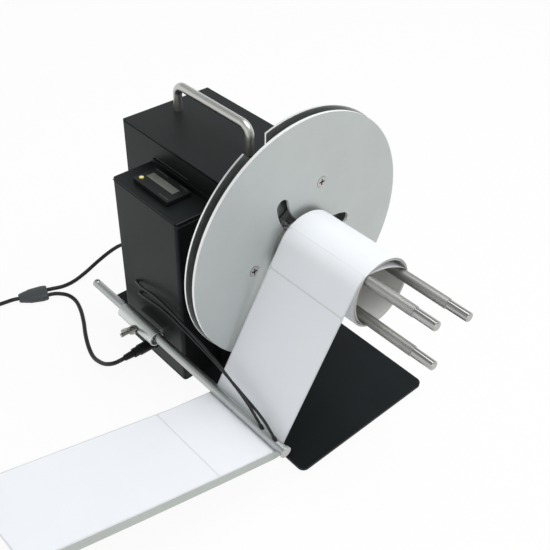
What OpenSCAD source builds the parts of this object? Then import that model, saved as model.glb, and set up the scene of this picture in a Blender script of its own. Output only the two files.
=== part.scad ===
// Desktop label rewinder: a motor case with a carrying handle, a label counter in its own case beside it,
// and two discs on a spindle whose three swinging core rods hold the roll of labels.
// Lengths are in millimetres. +Z is up, the disc face looks along -Y and the table is at z = 0.

/* [Base] */
// Width of the base plate under the roll
base_w = 150; // [144:1:156]
// How far the base plate reaches in front of the disc face
base_front = 91; // [86:1:96]
// How far the base plate reaches behind the motor case
base_over = 10; // [8:1:14]
// Thickness of the base plate
base_t = 3; // [2.5:0.5:4]
// Thickness of the rubber mat under the base plate
mat_h = 4; // [3:0.5:6]
// How far the mat stays inside the edge of the base plate
mat_in = 3; // [3:0.5:4]

/* [Motor case] */
// Width of the motor case
case_w = 93; // [90:1:96]
// Distance from the disc face to the front of the motor case
case_front = 45.5; // [44:0.5:48]
// Depth of the motor case with its rear panel
case_depth = 133.5; // [128:0.5:140]
// Height of the motor case above the base plate
case_h = 196; // [192:1:202]
// Sheet thickness of both cases
wall = 1.5; // [1.2:0.1:2]
// Corner radius of the cases
corner_r = 3; // [2:0.5:4]

/* [Counter case] */
// Width of the counter case
counter_w = 39; // [37:1:42]
// Depth of the counter case
counter_depth = 88; // [86:1:92]
// Distance from the disc face to the front of the counter case
counter_front = 53; // [50:1:55]
// Height of the counter case above the base plate
counter_h = 171; // [168:1:176]
// Depth of the lid of the counter case
lid_h = 4; // [3.5:0.5:6]
// Height of the counter bezel above the lid
bezel_h = 4.5; // [4:0.5:6]

/* [Spindle] */
// Height of the spindle axis above the base plate
axis_h = 146.5; // [144:0.5:150]
// Diameter of the front disc
disc_d = 219; // [210:1:224]
// Thickness of the front disc
disc_t = 2.5; // [2:0.1:3]
// Thickness of the rear disc
rear_disc_t = 1.5; // [1.2:0.1:2]
// How much the rear disc stands out past the front disc all round
rear_lip = 1.2; // [0.5:0.1:2]

/* [Core rods] */
// Diameter of the circle through the core rods
rod_circle_d = 50; // [48:0.5:54]
// Diameter of the circle through the pivot screws
pivot_circle_d = 101.6; // [100:0.2:104]
// Diameter of the knurled part of a core rod
knurl_d = 9; // [8.6:0.1:10]
// Diameter of the smooth part of a core rod
core_rod_d = 8; // [7.6:0.1:8.4]
// Diameter of the shank that holds a core rod in its arm
shank_d = 6.6; // [6:0.1:6.9]
// Reach of the core rods in front of the disc face
core_rod_reach = 150; // [140:1:160]
// Length of the smooth tip
tip_l = 20; // [15:1:25]

/* [Handle] */
// Distance from the front of the motor case to the front leg of the handle
handle_in = 20; // [18:0.5:24]
// Diameter of the handle bar
handle_d = 8; // [7:0.5:9]
// Height of the bar's centre above the case
handle_h = 24.5; // [22:0.5:30]

/* [Guide rod] */
// Diameter of the guide rod
guide_d = 8; // [7:0.5:9]
// Length of the guide rod
guide_l = 263; // [254:1:267]
// Height of the guide rod above the base plate
guide_h = 41.5; // [40:0.5:44]
// Distance of the guide rod from the side of the counter case
guide_off = 11; // [10:0.5:13]
// Length of the clamp sleeve
clamp_l = 50; // [46:1:54]
// Diameter of the clamp sleeve
clamp_d = 14; // [13:0.5:15]

/* [Labels] */
// Width of the label strip
label_w = 79; // [74:1:80]
// Thickness of the paper wound around the rods
roll_t = 1.2; // [0.8:0.1:2]
// Half angle of the arcs in which the loose outer turn bulges at the left and below, in degrees
loose_bulge = 58; // [50:1:58]
// Rise of the incoming strip towards the left, in degrees
strip_rise = 15.7; // [12:0.1:18]

/* [Hidden] */
$fn = 64;

// Paint and material colours
black_paint = [0.05, 0.05, 0.055];
rubber_black = [0.03, 0.03, 0.03];
plastic_black = [0.06, 0.06, 0.06];
aluminium = [0.75, 0.76, 0.76];
steel = [0.6, 0.6, 0.6];
paper_white = [0.93, 0.94, 0.96];

// Heights of the base and the cases
base_top = mat_h + base_t;
axis_z = base_top + axis_h;
case_x = case_w / 2;
case_back = case_front + case_depth;
base_back = case_back + base_over;
case_top = base_top + case_h;
panel_y = case_back - wall;

// Outline of the counter case, which stands against the left side of the motor case
counter_x1 = -case_x;
counter_x0 = counter_x1 - counter_w;
counter_back = counter_front + counter_depth;
counter_top = base_top + counter_h;
lid_z = counter_top - lid_h;

// Centre and size of the counter module and its bezel
module_x = counter_x0 + 21.3;
module_y = counter_front + 47;
bezel_w = 24;
bezel_l = 48;
bezel_top = counter_top + bezel_h;
body_w = bezel_w - 2;
body_l = bezel_l - 3.2;
body_deep = 0.75 * bezel_l;

// Discs: the arms swing in the gap between them
disc_r = disc_d / 2;
arm_gap = 1;
arm_t = 4.2;
rear_gap = 1;
arm_y = disc_t + arm_gap;
rear_y = arm_y + arm_t + rear_gap;
rear_back = rear_y + rear_disc_t;
rear_r = disc_r + rear_lip;
notches = 3;
notch_angle = 113.6;
notch_w = 23;
notch_deep = 14;
notch_taper = 22;
notch_round = 3;

// Shaft, collar and bearing sizes along the spindle
spigot_r = 5;
journal_r = 7;
collar_r = 18;
collar_y = rear_back + 0.5;
collar_back = collar_y + 9;
shaft_r = 6;
shaft_back = case_front + 28.5;
housing_y = case_front - 23.5;
housing_back = case_front + 14.5;
housing_r = 20;
flange_r = 30;
flange_t = 4;
bearing_r = 14;
bearing_t = 8;
motor_y = case_front + 44.5;

// Three arms swing on the pivot screws and carry the core rods
pivot_r = pivot_circle_d / 2;
rod_r = rod_circle_d / 2;
pivot_angle = 68.2;
rod_angle = 128.8;
closed_r = 14;
open_r = 48.5;
pivot_at = pivot_r * [cos(pivot_angle), sin(pivot_angle)];
rod_at = rod_r * [cos(rod_angle), sin(rod_angle)];
arm_l = norm(rod_at - pivot_at);
cam_ratio = 1.5;
cam_pin_r = 2;
slot_half = 6.05;
slot_r = arm_l - 2.5;

// Angle between an arm and the line from its pivot to the spindle when its rod is at a radius
function arm_angle(r) = acos((pivot_r * pivot_r + arm_l * arm_l - r * r) / (2 * pivot_r * arm_l));
rest_angle = arm_angle(rod_r);
closed_angle = arm_angle(closed_r);
open_angle = arm_angle(open_r);

// Place of a core rod for an arm angle, seen on the front disc and then on the turned rear disc
function turn(p, a) = [p[0] * cos(a) - p[1] * sin(a), p[0] * sin(a) + p[1] * cos(a)];
function arm_place(a, r) = pivot_at + r * [cos(pivot_angle + 180 - a), sin(pivot_angle + 180 - a)];
function rod_place(a) = arm_place(a, arm_l);
function cam_place(a) = turn(rod_place(a), cam_ratio * (a - rest_angle));
function cam_side(a) =
    let (d = cam_place(a + 0.1) - cam_place(a - 0.1))
    [-d[1], d[0]] / norm(d);
cam_half = cam_pin_r + 0.4;
cam_steps = 16;
cam_angles = [for (i = [0 : cam_steps]) closed_angle + (open_angle - closed_angle) * i / cam_steps];

// Handle legs, the rear one a little nearer to its end of the case
handle_y0 = case_front + handle_in;
handle_y1 = case_back - handle_in + 2.5;
handle_span = handle_y1 - handle_y0;
handle_bend = 9;

// Guide rod, its clamp and the two sensors near its tip
guide_x = counter_x0 - guide_off;
guide_z = base_top + guide_h;
guide_tip = -89.5;
guide_back = guide_tip + guide_l;
guide_bore_r = 2.5;
guide_hole_r = 1.7;
guide_hole_y = guide_back - 3.5;
sensor_ys = [guide_tip + 21.5, guide_tip + 6];
sensor_r = 1.6;
sensor_lean = 50;
sensor_from = 2.6;
sensor_to = 8.5;
function sensor_point(k, along) =
    [guide_x, sensor_ys[k], guide_z] + along * [0, sin(sensor_lean), cos(sensor_lean)];
clamp_y = 75;
clamp_off = 1.2;
clamp_x = guide_x - clamp_off;
clamp_z = guide_z - clamp_off;
clamp_recess = 4;
clamp_foot = 8;
wing_y = clamp_y + 23;

// Wound paper: round over each rod, and an arc between the rods. The bulge of a side is half the angle of its
// arc, for the left side, the lower right side and the top.
roll_gap = 0.35;
roll_in = knurl_d / 2 + roll_gap;
roll_out = roll_in + roll_t;
core_out = roll_in + roll_t * 2 / 3;
turn_in = roll_out - roll_t * 3 / 8;
core_bulge = [43, 49, 16];
turn_bulge = [loose_bulge, loose_bulge, 46];
roll_steps = 8;
side_half = rod_r * sin(60);
side_mid = rod_r * cos(60);
function arc(centre, r, from, to) = [
    for (k = [0 : roll_steps])
        let (a = from + (to - from) * k / roll_steps)
        centre + r * [cos(a), sin(a)]];
function over_rod(i, o, bulge) =
    let (out = rod_angle + 120 * i)
    arc(turn(rod_at, 120 * i), o, out - 60 + bulge[(i + 2) % 3], out + 60 - bulge[i]);
function over_side(i, o, b) =
    let (out = rod_angle + 120 * i + 60, away = side_mid - side_half / tan(b), step = 2 * b / roll_steps)
    arc(away * [cos(out), sin(out)], side_half / sin(b) + o, out - b + step, out + b - step);
function roll_outline(o, bulge) = [
    for (i = [0 : 2]) each concat(over_rod(i, o, bulge), over_side(i, o, bulge[i]))];

// Label strip: the run in from the left, the tight run up from the guide rod, and its last bit on the roll
strip_gap = 0.4;
strip_t = 0.5;
strip_y1 = -4.2;
strip_y0 = strip_y1 - label_w;
strip_l = 215;
lip_h = 8.5;
strip_roll_r = rod_r + roll_out + strip_gap + strip_t / 2;
strip_rod_r = guide_d / 2 + strip_gap + strip_t / 2;
run = [-guide_x, axis_z - guide_z];
run_angle = atan2(run[1], run[0]) + asin((strip_roll_r + strip_rod_r) / norm(run));
in_side = [sin(strip_rise), cos(strip_rise)];
in_dir = [-cos(strip_rise), sin(strip_rise)];
wrap_steps = 8;
wrap_from = 270 - strip_rise;
wrap_to = 270 + run_angle;
contact_turn = 24;
contact_steps = 4;

// One edge line of the strip in the plane across the spindle, at an offset towards the guide rod
function strip_edge(o) = concat(
    [[guide_x, guide_z] - (strip_rod_r - o) * in_side + strip_l * in_dir],
    [for (i = [0 : wrap_steps])
        let (a = wrap_from + (wrap_to - wrap_from) * i / wrap_steps)
        [guide_x, guide_z] + (strip_rod_r - o) * [cos(a), sin(a)]],
    [for (i = [0 : contact_steps])
        let (a = run_angle + 90 - contact_turn * i / contact_steps)
        [0, axis_z] + (strip_roll_r + o) * [cos(a), sin(a)]]);
function reversed(list) = [for (i = [len(list) - 1 : -1 : 0]) list[i]];

// Power sockets, plugs and the cable outlets of the sensors
inlet_x = -25;
inlet_z = base_top + 25;
switch_x = 15;
switch_z = base_top + 27;
socket_y = counter_front + 48;
socket_z = base_top + 9.5;
jack_flange = 2;
jack_deep = 14;
plug_l = 20;
relief_l = 10;
lead_r = 2;
cable_r = 1.2;
outlet_l = 0.6;
outlet_ys = [counter_front + 65, counter_front + 61];
outlet_zs = [base_top + 72.7, base_top + 62];

// Y moulding of the power lead, lying on the table behind the counter case
fork = [-118, 239.5];
fork_turn = -20.7;
fork_l = 28.5;
fork_z = 4.6;
fork_apart = 4.2;
function fork_point(along, across) =
    let (p = fork + turn([along, across], fork_turn))
    [p[0], p[1], fork_z];

// Routes of the free cords, as points on their centre lines; each end leaves its piece in a short straight
relief_end = counter_x0 - jack_flange - plug_l - relief_l;
rear_relief_end = case_back + jack_flange + plug_l + relief_l;
end_socket = [-228, 268, 5.9];
// The sensor cables leave the case aslant. They slide with the guide rod, so they start a little off their
// outlets
outlet_gap = [-1.45, -1.2, 1.4];
outlet_slant = [-0.2, -0.9, 0.3];
function outlet_point(k, along) =
    [counter_x0 - outlet_l, outlet_ys[k], outlet_zs[k]] + outlet_gap + along * outlet_slant;
counter_lead_route = concat(
    [for (out = [0, 4.5]) [relief_end - out, socket_y, socket_z]],
    [[-127, 103, 15], [-130.6, 108.2, 12], [-132.2, 117, 7.6], [-131.8, 132, 3], [-128, 147, 2.4],
        [-121, 164, 2.4], [-112.5, 181, 2.4], [-105.5, 198, 2.4], [-102, 213, 2.4], [-103.6, 224.5, 2.6],
        [-109.3, 231, 3.6]],
    [for (out = [5, 0]) fork_point(out, -fork_apart)]);
rear_lead_route = concat(
    [for (out = [0, 7]) [inlet_x, rear_relief_end + out, inlet_z]],
    [[-27.5, 226.5, 30], [-33.5, 234.5, 25], [-43, 240.5, 17.5], [-56, 243.5, 9.8], [-72, 242.2, 4.6],
        [-88, 239.2, 3.2], [-101, 238.6, 3.9]],
    [for (out = [5, 0]) fork_point(out, fork_apart)]);
supply_lead_route = concat(
    [for (out = [0, 6]) fork_point(-fork_l - out, 0)],
    [[-158, 254.5, 3.4], [-168, 257.6, 2.5], [-182, 261.4, 2.4], [-197, 264.9, 2.6], [-210, 267.2, 4.2]],
    [for (out = [7, 0]) end_socket + [out, 0, 0]]);
cable_a_route = concat(
    [for (along = [0, 6]) outlet_point(0, along)],
    [[-90.2, 102.6, 84.4], [-91.4, 86.4, 88.3], [-92, 72, 89.6], [-92, 58, 88.1],
        [-92, 40, 84.9], [-92, 20, 81.4], [-92, 2, 76.8], [-92.8, -15, 71.6], [-93.8, -32, 66.8],
        [-95.2, -46, 62.8]],
    [for (out = [6, 0]) sensor_point(0, sensor_to + out)]);
cable_b_route = concat(
    [for (along = [0, 6]) outlet_point(1, along)],
    [[-90, 96, 75.6], [-90.6, 76, 79.5],
        [-90.5, 58, 79], [-90.5, 40, 76.8], [-90.5, 20, 73.8], [-90.6, 0, 70.2], [-91.2, -20, 66.2],
        [-92.2, -38, 63.2], [-93.4, -54, 60.9], [-95, -66, 59]],
    [for (out = [6, 0]) sensor_point(1, sensor_to + out)]);

// Smooth curve through route points, then a closed tube of rings around it
function route_at(p, i) = p[max(0, min(len(p) - 1, i))];
function curve_point(p, i, t) =
    let (a = route_at(p, i - 1), b = route_at(p, i), c = route_at(p, i + 1), d = route_at(p, i + 2))
    0.5 * (2 * b + (c - a) * t + (2 * a - 5 * b + 4 * c - d) * t * t + (3 * b - a - 3 * c + d) * t * t * t);
function curve(p, n) = concat(
    [for (i = [0 : len(p) - 2]) for (k = [0 : n - 1]) curve_point(p, i, k / n)], [p[len(p) - 1]]);
function along_curve(c, i) =
    let (d = route_at(c, i + 1) - route_at(c, i - 1))
    d / norm(d);
function ring(at, dir, reference, r, sides) =
    let (u = cross(dir, reference) / norm(cross(dir, reference)), v = cross(u, dir))
    [for (k = [0 : sides - 1]) at + r * (cos(360 * k / sides) * u + sin(360 * k / sides) * v)];

// The first and the last ring stand square to the straight ends of the route
function ring_direction(route, c, i) =
    let (last = len(route) - 1)
    i == 0 ? along_curve([route[0], route[1]], 0) :
    i == len(c) - 1 ? along_curve([route[last - 1], route[last]], 1) : along_curve(c, i);

module tube(route, r, reference, steps, sides = 8) {
    c = curve(route, steps);
    n = len(c);
    points = [for (i = [0 : n - 1]) each ring(c[i], ring_direction(route, c, i), reference, r, sides)];
    walls = [for (i = [0 : n - 2]) for (k = [0 : sides - 1])
        let (a = i * sides + k, b = i * sides + (k + 1) % sides)
        each [[a, a + sides, b], [b, a + sides, b + sides]]];
    ends = [[for (k = [0 : sides - 1]) k], [for (k = [sides - 1 : -1 : 0]) (n - 1) * sides + k]];
    polyhedron(points = points, faces = concat(walls, ends), convexity = 6);
}

// A flat outline in x and z, made thick from one depth to another
module along_y(front, back) {
    translate([0, back, 0])
        rotate([90, 0, 0])
            linear_extrude(back - front)
                children();
}

// Round pins along y and along x
module pin_y(x, z, r, front, back) {
    translate([x, back, z])
        rotate([90, 0, 0])
            cylinder(r = r, h = back - front);
}

module pin_x(y, z, r, from, to) {
    translate([from, y, z])
        rotate([0, 90, 0])
            cylinder(r = r, h = to - from);
}

// Rectangle with four round corners
module round_rect(x0, y0, x1, y1, r) {
    translate([x0 + r, y0])
        square([x1 - x0 - 2 * r, y1 - y0]);
    translate([x0, y0 + r])
        square([x1 - x0, y1 - y0 - 2 * r]);
    for (x = [x0 + r, x1 - r])
        for (y = [y0 + r, y1 - r])
            translate([x, y])
                circle(r = r);
}

// Three copies about the spindle
module three_times() {
    for (i = [0 : 2])
        about_spindle(i)
            children();
}

module about_spindle(i) {
    translate([0, 0, axis_z])
        rotate([0, -120 * i, 0])
            children();
}

// Places of the case screws: four under the motor case and two under the counter case
case_screw_places = [
    for (x = [-case_x + 9, case_x - 9]) for (y = [case_front + 14, case_back - 16]) [x, y]];
counter_screw_places = [
    for (y = [counter_front + 10, counter_back - 10]) [(counter_x0 + counter_x1) / 2, y]];
case_screw_r = 2;

module base_plate() {
    color(black_paint)
        difference() {
            translate([0, 0, mat_h])
                linear_extrude(base_t)
                    union() {
                        round_rect(-base_w / 2, -base_front, base_w / 2, base_back, 6);
                        round_rect(counter_x0, counter_front, 0, counter_back, corner_r);
                    }
            for (p = concat(case_screw_places, counter_screw_places))
                translate([p[0], p[1], 0])
                    cylinder(r = case_screw_r + 0.15, h = base_top + 1);
        }
}

// Rubber mat with round holes for the heads of the case screws
module base_mat() {
    color(rubber_black)
        difference() {
            linear_extrude(mat_h)
                round_rect(
                    -base_w / 2 + mat_in, -base_front + mat_in, base_w / 2 - mat_in, base_back - mat_in, 4);
            for (p = concat(case_screw_places, counter_screw_places))
                translate([p[0], p[1], -1])
                    cylinder(r = 4.4, h = mat_h + 2);
        }
}

// Inner tabs at the foot of a case take its screws
tab_w = 14;
tab_t = 2;

module foot_tab(p, reach_x) {
    translate([min(p[0] - tab_w / 2, p[0] + reach_x), p[1] - tab_w / 2, base_top])
        cube([tab_w / 2 + max(tab_w / 2, abs(reach_x)), tab_w, tab_t]);
}

// Blocks in the rear corners of the motor case take the panel screws
block = 8;
panel_screw_xs = [-case_x + wall + block / 2, case_x - wall - block / 2];
panel_screw_zs = [base_top + 12, case_top - wall - block / 2];
panel_screw_r = 1.5;

module main_case() {
    color(black_paint)
        difference() {
            union() {
                difference() {
                    translate([0, 0, base_top])
                        linear_extrude(case_h)
                            intersection() {
                                round_rect(-case_x, case_front, case_x, panel_y + 2 * corner_r, corner_r);
                                translate([-case_x, case_front])
                                    square([case_w, panel_y - case_front]);
                            }
                    translate([-case_x + wall, case_front + wall, base_top - 1])
                        cube([case_w - 2 * wall, case_depth, case_h - wall + 1]);
                }
                for (p = case_screw_places)
                    foot_tab(p, p[0] < 0 ? -9 + wall / 2 : 9 - wall / 2);
                for (s = [-1, 1])
                    for (z = panel_screw_zs)
                        translate([s * (case_x - wall / 2 - block / 2 - wall / 4), panel_y - 5, z])
                            cube([block + wall / 2, 10, block], center = true);
            }
            pin_y(0, axis_z, housing_r + 0.2, case_front - 1, case_front + wall + 1);
            for (y = [handle_y0, handle_y1])
                translate([0, y, case_top - wall - 1])
                    cylinder(r = 2.6, h = wall + 2);
            for (p = case_screw_places)
                translate([p[0], p[1], base_top - 1])
                    cylinder(r = case_screw_r + 0.1, h = tab_t + 2);
            for (x = panel_screw_xs)
                for (z = panel_screw_zs)
                    pin_y(x, z, panel_screw_r + 0.1, panel_y - 9, panel_y + 1);
        }
}

module rear_panel() {
    color(black_paint)
        difference() {
            along_y(panel_y, case_back)
                translate([-case_x, base_top])
                    square([case_w, case_h]);
            for (x = panel_screw_xs)
                for (z = panel_screw_zs)
                    pin_y(x, z, panel_screw_r + 0.1, panel_y - 1, case_back + 1);
            pin_y(inlet_x, inlet_z, 5.6, panel_y - 1, case_back + 1);
            translate([switch_x - 6.5, panel_y - 1, switch_z - 9.5])
                cube([13, wall + 2, 19]);
        }
}

module case_screws() {
    color(steel)
        for (p = concat(case_screw_places, counter_screw_places))
            translate([p[0], p[1], 0]) {
                translate([0, 0, mat_h - 2])
                    cylinder(r = 3.6, h = 2);
                translate([0, 0, mat_h - 1])
                    cylinder(r = case_screw_r, h = base_t + tab_t + 2);
            }
}

module panel_screws() {
    color(steel)
        for (x = panel_screw_xs)
            for (z = panel_screw_zs) {
                pin_y(x, z, 2.9, case_back, case_back + 1.8);
                pin_y(x, z, panel_screw_r, panel_y - 7, case_back + 0.5);
            }
}

module bearing_housing() {
    color(aluminium)
        difference() {
            union() {
                pin_y(0, axis_z, housing_r, housing_y, housing_back);
                pin_y(0, axis_z, flange_r, case_front - flange_t, case_front);
            }
            pin_y(0, axis_z, bearing_r, housing_y - 1, housing_back + 1);
        }
}

module bearings() {
    color(steel)
        for (y = [housing_y + 2, housing_back - 2 - bearing_t])
            difference() {
                pin_y(0, axis_z, bearing_r, y, y + bearing_t);
                pin_y(0, axis_z, shaft_r + 0.04, y - 1, y + bearing_t + 1);
            }
}

// The motor hangs on an upright bracket behind the bearings
bracket_t = 4;
motor_shaft_r = 3;
gearbox_r = 18.5;
bracket_w = 2 * gearbox_r + 3;
bracket_foot = 24;

module motor_bracket() {
    color(steel)
        difference() {
            union() {
                translate([-bracket_w / 2, motor_y - bracket_t, base_top])
                    cube([bracket_w, bracket_t, axis_h + bracket_w / 2 + 4]);
                translate([-bracket_w / 2, motor_y - bracket_t, base_top])
                    cube([bracket_w, bracket_foot, bracket_t]);
            }
            pin_y(0, axis_z, 10, motor_y - bracket_t - 1, motor_y + 1);
        }
}

module gearmotor() {
    color(steel)
        difference() {
            union() {
                pin_y(0, axis_z, 9, motor_y - bracket_t, motor_y + 1);
                pin_y(0, axis_z, gearbox_r, motor_y, motor_y + 26);
                pin_y(0, axis_z, gearbox_r - 1.5, motor_y + 25, motor_y + 70);
            }
            pin_y(0, axis_z, motor_shaft_r + 0.05, motor_y - bracket_t - 1, motor_y + 12);
        }
}

module motor_shaft() {
    color(steel)
        pin_y(0, axis_z, motor_shaft_r, shaft_back, motor_y + 11.5);
}

module shaft_coupling() {
    color(aluminium)
        difference() {
            pin_y(0, axis_z, 10, shaft_back - 9, shaft_back + 9);
            pin_y(0, axis_z, shaft_r, shaft_back - 10, shaft_back);
            pin_y(0, axis_z, motor_shaft_r, shaft_back - 1, shaft_back + 10);
        }
}

// Circuit board on four posts over the base plate, in front of the sockets in the rear panel
board_w = 68;
board_l = 50;
board_t = 1.6;
board_z = inlet_z + 15;
board_back = case_back - jack_deep + 1;
board_front = board_back - board_l;
post_r = 3;
post_in = 8;
post_x = board_w / 2 - post_in;
post_places =
    [for (x = [-post_x, post_x]) for (y = [board_front + post_r + 1, board_back - post_r - 2]) [x, y]];

module control_board() {
    color([0.05, 0.25, 0.12])
        union() {
            translate([-board_w / 2, board_front, board_z])
                cube([board_w, board_l, board_t]);
            translate([-10, board_front + 14, board_z + board_t - 0.6])
                cube([14, 14, 3.6]);
            translate([12, board_front + 10, board_z + board_t - 0.6])
                cube([12, 16, 10]);
        }
}

module board_posts() {
    color(steel)
        for (p = post_places)
            translate([p[0], p[1], base_top])
                cylinder(r = post_r, h = board_z - base_top);
}

module spindle_shaft() {
    color(steel)
        difference() {
            union() {
                pin_y(0, axis_z, spigot_r, 0, disc_t + 1);
                pin_y(0, axis_z, journal_r, disc_t, collar_back);
                pin_y(0, axis_z, shaft_r, collar_back - 1, shaft_back);
            }
            pin_y(0, axis_z, 3, -1, 15);
        }
}

module rear_collar() {
    color(steel)
        difference() {
            pin_y(0, axis_z, collar_r, collar_y, collar_back);
            pin_y(0, axis_z, journal_r, collar_y - 1, collar_back + 1);
        }
}

module spindle_bolt() {
    color(steel)
        difference() {
            union() {
                pin_y(0, axis_z, 8, -1.5, 0);
                pin_y(0, axis_z, 5, -5.5, -1);
                pin_y(0, axis_z, 3, -1, 14);
            }
            translate([0, -3, axis_z])
                rotate([90, 0, 0])
                    cylinder(r = 2.9, h = 3, $fn = 6);
        }
}

// Curved slot about a pivot screw in which a core rod swings, a little nearer to the pivot than the rod
slot_from = pivot_angle + 180 - closed_angle;
slot_to = pivot_angle + 180 - open_angle;
function without_ends(list) = [for (i = [1 : len(list) - 2]) list[i]];

module swing_slot() {
    polygon(concat(
        arc(pivot_at, slot_r + slot_half, slot_from, slot_to),
        without_ends(arc(arm_place(open_angle, slot_r), slot_half, slot_to, slot_to - 180)),
        arc(pivot_at, slot_r - slot_half, slot_to, slot_from),
        without_ends(arc(arm_place(closed_angle, slot_r), slot_half, slot_from + 180, slot_from))));
}

// Head of a pivot screw, a little smaller than its countersink
head_r = 4.75;
head_gap = 0.4;

module countersink() {
    translate([pivot_at[0], pivot_at[1], 0]) {
        translate([0, 0, -1])
            cylinder(r = 3, h = disc_t + 2);
        translate([0, 0, disc_t - 2])
            cylinder(r1 = 3, r2 = head_r + head_gap, h = 2.001);
    }
}

module front_disc() {
    color(aluminium)
        difference() {
            translate([0, 0, axis_z])
                along_y(0, disc_t)
                    difference() {
                        circle(r = disc_r);
                        circle(r = spigot_r);
                        for (i = [0 : 2])
                            rotate(120 * i)
                                swing_slot();
                    }
            three_times()
                translate([0, disc_t, 0])
                    rotate([90, 0, 0])
                        countersink();
        }
}

// Curved slot of the rear disc that drives the rear pins of the core rods, with round ends
cap_steps = 8;
function cam_cap(a, side) = [
    for (k = [0 : cap_steps]) cam_place(a) + cam_half * turn(side, -180 * k / cap_steps)];

module cam_slot() {
    middle = [for (i = [1 : cam_steps - 1]) cam_angles[i]];
    polygon(concat(
        [for (a = middle) cam_place(a) + cam_half * cam_side(a)],
        cam_cap(open_angle, cam_side(open_angle)),
        [for (a = reversed(middle)) cam_place(a) - cam_half * cam_side(a)],
        cam_cap(closed_angle, -cam_side(closed_angle))));
}

// Finger notch in the rim of the rear disc, narrower towards its floor
module finger_notch() {
    spread = notch_deep * tan(notch_taper);
    inner = notch_w / 2 - spread;
    outer = notch_w / 2 + spread;
    rotate(notch_angle)
        translate([rear_r, 0])
            offset(r = notch_round)
                offset(delta = -notch_round)
                    polygon([
                        [-notch_deep, -inner], [notch_deep, -outer],
                        [notch_deep, outer], [-notch_deep, inner]]);
}

module rear_disc() {
    color(aluminium)
        translate([0, 0, axis_z])
            along_y(rear_y, rear_back)
                difference() {
                    circle(r = rear_r);
                    circle(r = journal_r + 0.05);
                    for (i = [0 : 2])
                        rotate(120 * i)
                            cam_slot();
                    for (i = [0 : notches - 1])
                        rotate(360 * i / notches)
                            finger_notch();
                }
}

// The cross recesses of the pivot screws stand upright
module pivot_screws() {
    color(steel)
        for (i = [0 : 2])
            about_spindle(i)
                translate([0, disc_t, 0])
                    rotate([90, 0, 0])
                        translate([pivot_at[0], pivot_at[1], 0])
                            pivot_screw(-120 * i);
}

module pivot_screw(cross_turn) {
    difference() {
        union() {
            translate([0, 0, -arm_gap - arm_t - 0.3])
                cylinder(r = 4, h = arm_gap + arm_t + 0.3);
            translate([0, 0, -1])
                cylinder(r = 3, h = disc_t);
            translate([0, 0, disc_t - 2])
                cylinder(r1 = 3, r2 = head_r, h = 2);
        }
        for (a = [0, 90])
            rotate(cross_turn + a)
                translate([0, 0, disc_t])
                    cube([5.6, 1.3, 2.4], center = true);
    }
}

// Flat arm from its pivot screw to its core rod
module swing_arm(i) {
    color(steel)
        about_spindle(i)
            along_y(arm_y, arm_y + arm_t)
                difference() {
                    union() {
                        translate(pivot_at)
                            circle(r = 7);
                        translate(rod_at)
                            circle(r = 6);
                        translate(pivot_at)
                            rotate(pivot_angle + 180 - rest_angle)
                                translate([0, -5])
                                    square([arm_l, 10]);
                    }
                    translate(pivot_at)
                        circle(r = 4.05);
                    translate(rod_at)
                        circle(r = shank_d / 2);
                }
}

module arm_a() { swing_arm(0); }
module arm_b() { swing_arm(1); }
module arm_c() { swing_arm(2); }

// Core rod: rear cam pin, shank in the arm, knurled body and smooth tip
knurl_start = -2;
knurl_end = -core_rod_reach + tip_l;

module core_rod(i) {
    color(steel)
        about_spindle(i) {
            pin_y(rod_at[0], rod_at[1], cam_pin_r, arm_y + 1, rear_back);
            pin_y(rod_at[0], rod_at[1], shank_d / 2, knurl_start - 1, arm_y + arm_t);
            pin_y(rod_at[0], rod_at[1], knurl_d / 2, knurl_end, knurl_start);
            pin_y(rod_at[0], rod_at[1], core_rod_d / 2, -core_rod_reach + 0.8, knurl_end + 1);
            translate([rod_at[0], -core_rod_reach + 0.8, rod_at[1]])
                rotate([90, 0, 0])
                    cylinder(r1 = core_rod_d / 2, r2 = core_rod_d / 2 - 0.8, h = 0.8);
        }
}

module rod_a() { core_rod(0); }
module rod_b() { core_rod(1); }
module rod_c() { core_rod(2); }

// The tight inner turns and the loose outer turn, which meet over the rods
module label_roll() {
    color(paper_white)
        translate([0, 0, axis_z])
            along_y(strip_y0, strip_y1)
                union() {
                    paper_band(roll_in, core_out, core_bulge);
                    paper_band(turn_in, roll_out, turn_bulge);
                }
}

module paper_band(inner, outer, bulge) {
    difference() {
        polygon(roll_outline(outer, bulge));
        polygon(roll_outline(inner, bulge));
    }
}

module label_strip() {
    lower = strip_edge(-strip_t / 2);
    upper = strip_edge(strip_t / 2);
    color(paper_white)
        union() {
            along_y(strip_y0, strip_y1)
                polygon(concat(lower, reversed(upper)));
            along_y(strip_y0, strip_y0 + strip_t)
                polygon([lower[0], lower[1], lower[1] - lip_h * in_side, lower[0] - lip_h * in_side]);
        }
}

module counter_case() {
    color(black_paint)
        difference() {
            union() {
                difference() {
                    translate([0, 0, base_top])
                        linear_extrude(lid_z - base_top)
                            counter_outline();
                    translate([counter_x0 + wall, counter_front + wall, base_top - 1])
                        cube([counter_w - 2 * wall, counter_depth - 2 * wall, counter_h + 2]);
                }
                for (p = counter_screw_places)
                    foot_tab(p, counter_w / 2 - wall / 2);
            }
            for (p = counter_screw_places)
                translate([p[0], p[1], base_top - 1])
                    cylinder(r = case_screw_r + 0.1, h = tab_t + 2);
            pin_x(socket_y, socket_z, 5.6, counter_x0 - 1, counter_x0 + wall + 1);
            for (k = [0, 1])
                pin_x(outlet_ys[k], outlet_zs[k], 1.8, counter_x0 - 1, counter_x0 + wall + 1);
        }
}

// Round corners on the free side, square ones against the motor case
module counter_outline() {
    intersection() {
        round_rect(counter_x0, counter_front, counter_x1 + 2 * corner_r, counter_back, corner_r);
        translate([counter_x0, counter_front])
            square([counter_w, counter_depth]);
    }
}

// Lid with a down-turned rim, a cut-out for the counter and an up-turned flange against the motor case
upstand_h = 6;

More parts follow.
